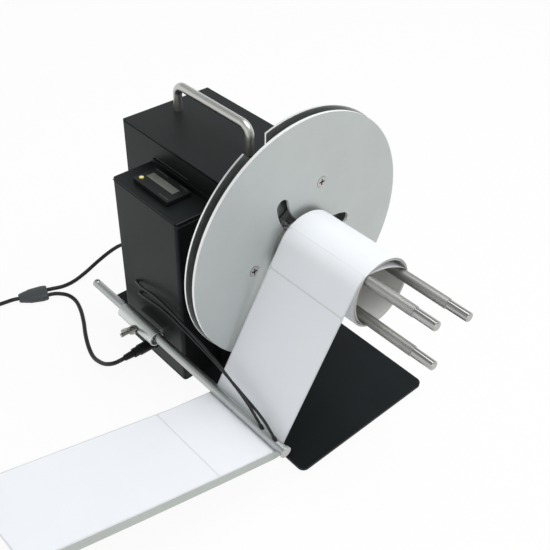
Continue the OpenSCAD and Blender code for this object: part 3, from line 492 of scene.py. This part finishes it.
def core_rod(letter):
    """The core rod that rides on the arm of the same letter."""
    angle = math.radians(ROD_ANGLES[letter])
    centre = Vector((ROD_CIRCLE * math.cos(angle), 0, AXIS_Z + ROD_CIRCLE * math.sin(angle)))
    profile = rod_profile()
    vertices = []
    for row, (y, radius, knurled) in enumerate(profile):
        for k in range(KNURL_SIDES):
            a = 2 * math.pi * k / KNURL_SIDES
            r = radius - (KNURL_DEPTH if knurled and (row + k) % 2 else 0)
            vertices.append(centre + Vector((r * math.cos(a), y, r * math.sin(a))))
    faces = ring_faces(len(profile), KNURL_SIDES)
    body = [row for row, (y, radius, knurled) in enumerate(profile) if knurled]
    pick = []
    for row in range(len(profile) - 1):
        pick += [0 if body[0] <= row < body[-1] else 1] * KNURL_SIDES
    pick += [1, 1]
    rod = mesh_piece(f"core_rod_{letter}", vertices, faces, [knurl_steel, tip_steel], pick, crease=14)
    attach(rod, f"arm_{letter}")
    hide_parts(f"rod_{letter}")


for letter in ROD_ANGLES:
    core_rod(letter)


# Label strip: its line across the spindle, with the side that carries the labels

STRIP_OFF = 0.65 * MM
STRIP_ROLL_R = ROD_CIRCLE + ROLL_OUT + STRIP_OFF
STRIP_ROD_R = GUIDE_R + STRIP_OFF
RUN = AXIS - GUIDE
RUN_ANGLE = math.atan2(RUN.y, RUN.x) + math.asin((STRIP_ROLL_R + STRIP_ROD_R) / RUN.length)
RUN_LENGTH = math.sqrt(RUN.length_squared - (STRIP_ROLL_R + STRIP_ROD_R) ** 2)
STRIP_T = 0.3 * MM
THIN_BY = 0.8
SETTLE = 0.8 * MM
TWIST = 3.2 * MM
TWIST_AT = 182 * MM
ASKEW_FROM = 43 * MM
ROD_BACK = -1.8 * MM
FLAT_STEPS = 60
BEND_STEPS = 16
SETTLE_STEPS = 12


def direction(angle):
    return Vector((math.cos(angle), math.sin(angle)))


def strip_line():
    """Points of the strip from its free left end to where it lies down on the roll, as (x, z) vectors."""
    into = Vector((-math.cos(STRIP_RISE), math.sin(STRIP_RISE)))
    up = Vector((math.sin(STRIP_RISE), math.cos(STRIP_RISE)))
    line = []
    for i in range(FLAT_STEPS):
        s = STRIP_LENGTH * (1 - i / FLAT_STEPS)
        line.append(GUIDE - STRIP_ROD_R * up + s * into)
    wrap_from = 1.5 * math.pi - STRIP_RISE
    wrap_to = 1.5 * math.pi + RUN_ANGLE
    for i in range(BEND_STEPS + 1):
        angle = wrap_from + (wrap_to - wrap_from) * i / BEND_STEPS
        line.append(GUIDE + STRIP_ROD_R * direction(angle))
    foot = line[-1]
    contact = RUN_ANGLE + math.pi / 2
    top = AXIS + STRIP_ROLL_R * direction(contact)
    for i in range(1, FLAT_STEPS):
        line.append(foot.lerp(top, i / FLAT_STEPS))
    for i in range(SETTLE_STEPS + 1):
        part = i / SETTLE_STEPS
        radius = STRIP_ROLL_R - SETTLE * part ** 2
        line.append(AXIS + radius * direction(contact - CONTACT_TURN * part))
    return line


def line_sides(line):
    """At each point of a line, the side that lies to the left of its run."""
    sides = []
    for i in range(len(line)):
        along = (line[min(i + 1, len(line) - 1)] - line[max(i - 1, 0)]).normalized()
        sides.append(Vector((-along.y, along.x)))
    return sides


def run_lengths(line):
    """The distance along a line at each of its points."""
    total = [0.0]
    for a, b in zip(line, line[1:]):
        total.append(total[-1] + (b - a).length)
    return total


# A place along a band of paper: it spans front to back in y and low to high along its side, and the tilt
# lifts its front edge
Station = namedtuple("Station", "point side front back low high tilt")


def ribbon(name, stations, materials, columns=8):
    """A thin closed band through stations. The materials are for its low side, high side and edges."""
    vertices = []
    for at in stations:
        for offset in (at.low, at.high):
            for k in range(columns + 1):
                part = k / columns
                place = at.point + at.side * (offset + at.tilt * (1 - part))
                vertices.append((place.x, at.front + (at.back - at.front) * part, place.y))
    across = columns + 1
    step = 2 * across
    faces = []
    pick = []
    for i in range(len(stations) - 1):
        a = i * step
        for k in range(columns):
            low = a + k
            high = low + across
            faces.append((low, low + 1, low + step + 1, low + step))
            faces.append((high, high + step, high + step + 1, high + 1))
            pick += [0, 1]
        faces.append((a, a + step, a + step + across, a + across))
        last = a + columns
        faces.append((last, last + across, last + step + across, last + step))
        pick += [2, 2]
    end = (len(stations) - 1) * step
    for k in range(columns):
        faces.append((k, k + across, k + across + 1, k + 1))
        faces.append((end + k, end + k + 1, end + across + k + 1, end + across + k))
        pick += [2, 1]
    return mesh_piece(name, vertices, faces, materials, pick, crease=50)


strip_path = strip_line()
strip_sides = line_sides(strip_path)
strip_runs = run_lengths(strip_path)
strip_total = strip_runs[-1]
CONTACT = STRIP_LENGTH + STRIP_ROD_R * (RUN_ANGLE + STRIP_RISE) + RUN_LENGTH


def strip_tilt(distance):
    """Lift of the strip's front edge at a distance from its free left end, where it is twisted."""
    left_of_rod = max(0, STRIP_LENGTH - distance)
    return TWIST * (left_of_rod / TWIST_AT) ** 2


def strip_edges(distance):
    """Front and back edge of the strip in y: it lies a little askew, nearest to the disc at the guide rod."""
    readings = [(0, STRIP_FRONT, STRIP_BACK), (STRIP_LENGTH - ASKEW_FROM, STRIP_FRONT, STRIP_BACK),
                (STRIP_LENGTH, STRIP_FRONT, ROD_BACK), (CONTACT, ROLL_FRONT, ROLL_BACK)]
    for (d0, front0, back0), (d1, front1, back1) in zip(readings, readings[1:]):
        if distance <= d1:
            part = (distance - d0) / (d1 - d0)
            return front0 + (front1 - front0) * part, back0 + (back1 - back0) * part
    return ROLL_FRONT, ROLL_BACK


def thinning(distance):
    """1 on the free strip, and less and less where it lies on the roll."""
    return 1 - THIN_BY * max(0, distance - CONTACT) / (strip_total - CONTACT)


strip_stations = []
for point, side, distance in zip(strip_path, strip_sides, strip_runs):
    half = STRIP_T / 2 * thinning(distance)
    strip_stations.append(Station(point, side, *strip_edges(distance), -half, half, strip_tilt(distance)))
strip = ribbon("paper_strip", strip_stations, [liner_paper, liner_paper, edge_paper])
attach(strip, "machine")
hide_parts("label_strip")

# Labels on the strip: long rounded sheets with a narrow gap between them

LABEL_PITCH = 180 * MM
LABEL_GAP = 1.5 * MM
LABEL_MARGIN = 1.2 * MM
LABEL_CORNER = 2.5 * MM
LABEL_T = 0.12 * MM
LABEL_START = 1 * MM
LABEL_STEP = 1.6 * MM
CORNER_STEPS = 5
FIRST_GAP = CONTACT - 23 * MM


def place_on_strip(distance):
    """Point and side of the strip at a distance from its free left end."""
    for i in range(len(strip_runs) - 1):
        if strip_runs[i + 1] >= distance:
            break
    t = (distance - strip_runs[i]) / (strip_runs[i + 1] - strip_runs[i])
    point = strip_path[i].lerp(strip_path[i + 1], t)
    return point, strip_sides[i].lerp(strip_sides[i + 1], t).normalized()


def label(name, start, end):
    """One label between two distances along the strip."""
    count = round((end - start) / LABEL_STEP)
    distances = [start + (end - start) * i / count for i in range(count + 1)]
    for i in range(CORNER_STEPS + 1):
        inward = LABEL_CORNER * (1 - math.cos(math.pi / 2 * i / CORNER_STEPS))
        distances += [start + inward, end - inward]
    stations = []
    for s in sorted(set(distances)):
        point, side = place_on_strip(s)
        near = min(s - start, end - s, LABEL_CORNER)
        rounding = math.sqrt(max(0, LABEL_CORNER ** 2 - (LABEL_CORNER - near) ** 2))
        inset = LABEL_MARGIN + LABEL_CORNER - rounding
        low = STRIP_T / 2 * thinning(s)
        high = low + LABEL_T * thinning(s)
        front, back = strip_edges(s)
        stations.append(Station(point, side, front + inset, back - inset, low, high, strip_tilt(s)))
    piece = ribbon(name, stations, [label_paper, label_paper, label_paper])
    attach(piece, "machine")
    return piece


gaps = [FIRST_GAP - LABEL_PITCH, FIRST_GAP]
starts = [LABEL_START] + [g + LABEL_GAP / 2 for g in gaps]
stops = [g - LABEL_GAP / 2 for g in gaps] + [strip_total]
labels = [label(f"label_{i + 1}", start, stop) for i, (start, stop) in enumerate(zip(starts, stops))]

# Turned-down front edge of the incoming strip, in a darker paper as painted shade

FOLD_H = 8.5 * MM
FOLD_PAST_ROD = 2.2 * MM


def strip_fold():
    """A thin closed band that hangs from the strip's front edge and ends just past the guide rod."""
    incoming = [i for i, run in enumerate(strip_runs) if run <= STRIP_LENGTH + FOLD_PAST_ROD]
    vertices = []
    for i in incoming:
        for depth in (STRIP_T / 2, FOLD_H):
            place = strip_path[i] + strip_sides[i] * (strip_tilt(strip_runs[i]) - depth)
            for y in (STRIP_FRONT, STRIP_FRONT + STRIP_T):
                vertices.append((place.x, y, place.y))
    faces = []
    for i in range(len(incoming) - 1):
        a = 4 * i
        for p, q in ((0, 1), (1, 3), (3, 2), (2, 0)):
            faces.append((a + p, a + q, a + 4 + q, a + 4 + p))
    faces.append((0, 2, 3, 1))
    tail = 4 * (len(incoming) - 1)
    faces.append((tail, tail + 1, tail + 3, tail + 2))
    piece = mesh_piece("strip_fold", vertices, faces, [shaded_fold_paper])
    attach(piece, "machine")
    return piece


fold = strip_fold()

# Wound paper: tight inner turns and then looser ones, as one spiral that ends where the strip lies down on it

INNER_TURNS = 2
OUTER_TURNS = 6
ROLL_THIRDS = 3 * (INNER_TURNS + OUTER_TURNS)
TURN_T = 0.14 * MM
TURN_MOST = 0.3 * MM
TURN_FILL = 0.85
BULGE_GAIN = 6
POINTS_PER_THIRD = 28
SIDE_HALF = ROD_CIRCLE * math.sin(math.pi / 3)
SIDE_MID = ROD_CIRCLE * math.cos(math.pi / 3)


def side_bulge(index):
    """Half angle of the arc in which a side of the spiral bulges between two rods."""
    turns = index / 3
    if turns < INNER_TURNS:
        return math.radians(CORE_BULGE[index % 3] + turns)
    early = 1 - (turns - INNER_TURNS) / OUTER_TURNS
    return math.radians(LOOSE_BULGE[index % 3] - BULGE_GAIN * max(0, early))


def roll_point(third):
    """A point of the spiral. A third of a turn is an arc over one rod and the bulged run to the next."""
    index = math.floor(third)
    part = 2 * (third - index)
    offset = ROLL_IN + TURN_T / 2 + (ROLL_OUT - ROLL_IN - TURN_T) * min(1, third / ROLL_THIRDS)
    middle = math.radians(ROD_ANGLES["a"] + 120 * index)
    outward = middle + math.pi / 3
    bulge = side_bulge(index)
    if part < 1:
        start = middle - math.pi / 3 + side_bulge(max(0, index - 1))
        angle = start + (outward - bulge - start) * part
        return AXIS + ROD_CIRCLE * direction(middle) + offset * direction(angle)
    centre = (SIDE_MID - SIDE_HALF / math.tan(bulge)) * direction(outward)
    angle = outward + bulge * (2 * part - 3)
    return AXIS + centre + (SIDE_HALF / math.sin(bulge) + offset) * direction(angle)


def turn_thickness(third):
    """Thickness of the paper that nearly fills the space to the turns beside it."""
    here = roll_point(third)
    beside = [roll_point(other) for other in (third - 3, third + 3) if 0 <= other <= ROLL_THIRDS]
    space = min((place - here).length for place in beside)
    return max(TURN_T, min(TURN_MOST, TURN_FILL * space))


roll_thirds = [i / POINTS_PER_THIRD for i in range(ROLL_THIRDS * POINTS_PER_THIRD + 1)]
roll_line = [roll_point(third) for third in roll_thirds]
roll_stations = []
for third, point, side in zip(roll_thirds, roll_line, line_sides(roll_line)):
    half = turn_thickness(third) / 2
    roll_stations.append(Station(point, side, ROLL_FRONT, ROLL_BACK, -half, half, 0))
roll = ribbon("paper_roll", roll_stations, [label_paper, back_paper, edge_paper], columns=4)
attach(roll, "spindle")
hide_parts("label_roll")


# Cords: the routes repeat those of the solids, in millimetres

LEAD_R = 2 * MM
CABLE_R = 1.2 * MM
FORK = Vector((-118, 239.5))
FORK_TURN = math.radians(-20.7)
FORK_LENGTH = 28.5
FORK_Z = 4.6
FORK_SIDES = 28
FORK_SQUARING = 0.55
FORK_OUTLET = 4.2
FORK_SECTIONS = [(-FORK_LENGTH, 3.4, 3.2), (-27, 4.4, 3.8), (-17, 8.6, 4), (-6, 9.9, 4),
                 (-1.5, 9.4, 3.9), (0, 8.4, 3.4)]
SENSOR_LEAN = math.radians(50)
SENSOR_YS = {"a": -68, "b": -83.5}
ROUTE_STEPS = 4
CABLE_SIDES = 12


def fork_point(along_fork, across):
    """A point of the fork's middle plane, from the middle of its end with two outlets."""
    turned = Matrix.Rotation(FORK_TURN, 2) @ Vector((along_fork, across))
    place = FORK + turned
    return (place.x, place.y, FORK_Z)


def sensor_point(letter, distance):
    """A point on the axis of a sensor that leans back from the guide rod's axis."""
    y = SENSOR_YS[letter] + distance * math.sin(SENSOR_LEAN)
    return (GUIDE_X, y, GUIDE_Z + distance * math.cos(SENSOR_LEAN))


COUNTER_LEAD = [
    (-117.5, 101, 16.5), (-122, 101, 16.5), (-127, 103, 15), (-130.6, 108.2, 12), (-132.2, 117, 7.6),
    (-131.8, 132, 3), (-128, 147, 2.4), (-121, 164, 2.4), (-112.5, 181, 2.4), (-105.5, 198, 2.4),
    (-102, 213, 2.4), (-103.6, 224.5, 2.6), (-109.3, 231, 3.6),
    fork_point(5, -FORK_OUTLET), fork_point(0, -FORK_OUTLET)]
REAR_LEAD = [
    (-25, 211, 32), (-25, 218, 32), (-27.5, 226.5, 30), (-33.5, 234.5, 25), (-43, 240.5, 17.5),
    (-56, 243.5, 9.8), (-72, 242.2, 4.6), (-88, 239.2, 3.2), (-101, 238.6, 3.9),
    fork_point(5, FORK_OUTLET), fork_point(0, FORK_OUTLET)]
SUPPLY_LEAD = [
    fork_point(-FORK_LENGTH, 0), fork_point(-FORK_LENGTH - 6, 0),
    (-158, 254.5, 3.4), (-168, 257.6, 2.5), (-182, 261.4, 2.4), (-197, 264.9, 2.6), (-210, 267.2, 4.2),
    (-221, 268, 5.9), (-228, 268, 5.9)]
CABLE_A = [
    (-87.55, 116.8, 81.1), (-88.75, 111.4, 82.9), (-90.2, 102.6, 84.4), (-91.4, 86.4, 88.3),
    (-92, 72, 89.6), (-92, 58, 88.1), (-92, 40, 84.9), (-92, 20, 81.4), (-92, 2, 76.8),
    (-92.8, -15, 71.6), (-93.8, -32, 66.8), (-95.2, -46, 62.8),
    sensor_point("a", 14.5), sensor_point("a", 8.5)]
CABLE_B = [
    (-87.55, 112.8, 70.4), (-88.75, 107.4, 72.2), (-90, 96, 75.6), (-90.6, 76, 79.5),
    (-90.5, 58, 79), (-90.5, 40, 76.8), (-90.5, 20, 73.8), (-90.6, 0, 70.2), (-91.2, -20, 66.2),
    (-92.2, -38, 63.2), (-93.4, -54, 60.9), (-95, -66, 59),
    sensor_point("b", 14.5), sensor_point("b", 8.5)]


def squared_off(part, half):
    """A part of -1 to 1 of a half width, pushed outward so that a circle becomes a rounded box."""
    return math.copysign(abs(part) ** FORK_SQUARING, part) * half


def lead_fork():
    """Flat moulding of the forked lead: rounded sections from the supply end to the two outlets."""
    vertices = []
    for place, half_width, half_height in FORK_SECTIONS:
        for k in range(FORK_SIDES):
            a = 2 * math.pi * k / FORK_SIDES
            x, y, z = fork_point(place, squared_off(math.cos(a), half_width))
            vertices.append(Vector((x, y, z + squared_off(math.sin(a), half_height))) * MM)
    faces = ring_faces(len(FORK_SECTIONS), FORK_SIDES)
    piece = mesh_piece("lead_fork_moulding", vertices, faces, [fork_plastic])
    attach(piece, "machine")
    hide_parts("lead_fork")
    return piece


def lead(name, route, node):
    """A power lead that lies on the table, in place of its solid."""
    path = smooth_route(route, ROUTE_STEPS)
    cord = cord_curve(name, path, LEAD_R, cord_skin)
    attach(cord, "machine")
    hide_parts(node)


def sensor_cable(name, route, node):
    """A thin cable from the counter case to a sensor."""
    path = smooth_route(route, ROUTE_STEPS)
    cable = tube_mesh(name, path, CABLE_R, CABLE_SIDES, cord_skin)
    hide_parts(node)
    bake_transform(cable)


fork = lead_fork()
lead("counter_power_lead", COUNTER_LEAD, "counter_lead")
lead("rear_power_lead", REAR_LEAD, "rear_lead")
lead("supply_power_lead", SUPPLY_LEAD, "supply_lead")
sensor_cable("sensor_cable_a", CABLE_A, "cable_a")
sensor_cable("sensor_cable_b", CABLE_B, "cable_b")


# Stage: a pale floor, soft light and the photo's camera

FLOOR_HALF = 4.0
FLOOR_GLOW = 0.93
SKY_LIGHT = 0.48
CAMERA_PLACE = Vector((-378.7, -371.2, 552.5)) * MM
CAMERA_RIGHT = (0.7423, -0.6696, 0.0274)
CAMERA_LOOK = (0.5293, 0.5607, -0.6367)
FOCAL_PIXELS = 818.4
PICTURE_PIXELS = 550
FILM_WIDTH = 36


def background_factor(tree):
    """1 for rays from the camera and for mirrored or refracted ones, else 0."""
    rays = add(tree, "ShaderNodeLightPath")
    seen = rays.outputs["Is Camera Ray"]
    for name in ("Is Glossy Ray", "Is Transmission Ray"):
        either = tree.nodes.new("ShaderNodeMath")
        either.operation = "MAXIMUM"
        tree.links.new(seen, either.inputs[0])
        tree.links.new(rays.outputs[name], either.inputs[1])
        seen = either.outputs["Value"]
    return seen


def make_floor():
    """White ground. The camera sees it glow nearly white, with only a trace of the shadows."""
    corners = [(x * FLOOR_HALF, y * FLOOR_HALF, 0) for x, y in ((-1, -1), (1, -1), (1, 1), (-1, 1))]
    floor = mesh_piece("floor", corners, [(0, 1, 2, 3)], [])
    material, tree, shader = new_material("floor_white")
    shader.inputs["Base Color"].default_value = (0.9, 0.9, 0.9, 1)
    shader.inputs["Roughness"].default_value = 0.9
    shader.inputs["Specular IOR Level"].default_value = 0.0
    white = add(tree, "ShaderNodeEmission", Strength=1.0)
    part = tree.nodes.new("ShaderNodeMath")
    part.operation = "MULTIPLY"
    part.inputs[1].default_value = FLOOR_GLOW
    tree.links.new(background_factor(tree), part.inputs[0])
    mix = tree.nodes.new("ShaderNodeMixShader")
    tree.links.new(part.outputs["Value"], mix.inputs["Fac"])
    tree.links.new(shader.outputs["BSDF"], mix.inputs[1])
    tree.links.new(white.outputs["Emission"], mix.inputs[2])
    tree.links.new(mix.outputs["Shader"], tree.nodes["Material Output"].inputs["Surface"])
    floor.data.materials.append(material)


def make_world():
    """White round the horizon and greyer overhead. It lights the object less than it shows."""
    world = bpy.data.worlds.new("studio")
    bpy.context.scene.world = world
    world.use_nodes = True
    tree = world.node_tree
    seen = tree.nodes["Background"]
    place = add(tree, "ShaderNodeTexCoord")
    split = tree.nodes.new("ShaderNodeSeparateXYZ")
    tree.links.new(place.outputs["Generated"], split.inputs["Vector"])
    sky = tint(tree, split.outputs["Z"], (1, 1, 1), (0.36, 0.37, 0.38))
    tree.links.new(sky, seen.inputs["Color"])
    light = add(tree, "ShaderNodeBackground", Color=(1, 1, 1, 1), Strength=SKY_LIGHT)
    mix = tree.nodes.new("ShaderNodeMixShader")
    tree.links.new(background_factor(tree), mix.inputs["Fac"])
    tree.links.new(light.outputs["Background"], mix.inputs[1])
    tree.links.new(seen.outputs["Background"], mix.inputs[2])
    tree.links.new(mix.outputs["Shader"], tree.nodes["World Output"].inputs["Surface"])


def soft_light(name, place, target, size, power):
    """A square lamp that faces its target."""
    lamp = bpy.data.lights.new(name, "AREA")
    lamp.shape = "SQUARE"
    lamp.size = size
    lamp.energy = power
    light = bpy.data.objects.new(name, lamp)
    bpy.context.scene.collection.objects.link(light)
    light.location = place
    light.rotation_mode = "QUATERNION"
    light.rotation_quaternion = (Vector(target) - Vector(place)).to_track_quat("-Z", "Y")


def make_camera():
    """The camera that was fitted to the photo."""
    right = Vector(CAMERA_RIGHT).normalized()
    look = Vector(CAMERA_LOOK).normalized()
    up = right.cross(look).normalized()
    right = look.cross(up)
    data = bpy.data.cameras.new("camera")
    data.sensor_width = FILM_WIDTH
    data.lens = FILM_WIDTH * FOCAL_PIXELS / PICTURE_PIXELS
    data.clip_start = 0.01
    camera = bpy.data.objects.new("camera", data)
    bpy.context.scene.collection.objects.link(camera)
    turn = Matrix((right, up, -look)).transposed().to_4x4()
    camera.matrix_world = Matrix.Translation(CAMERA_PLACE) @ turn
    bpy.context.scene.camera = camera


make_floor()
make_world()
soft_light("key_light", place=(0.3, -0.25, 1.55), target=(0, 0.02, 0.1), size=1.4, power=17)
soft_light("front_fill", place=(-0.4, -1.3, 0.7), target=(0, 0, 0.12), size=0.9, power=1.2)
make_camera()
bpy.context.scene.view_settings.view_transform = "Standard"
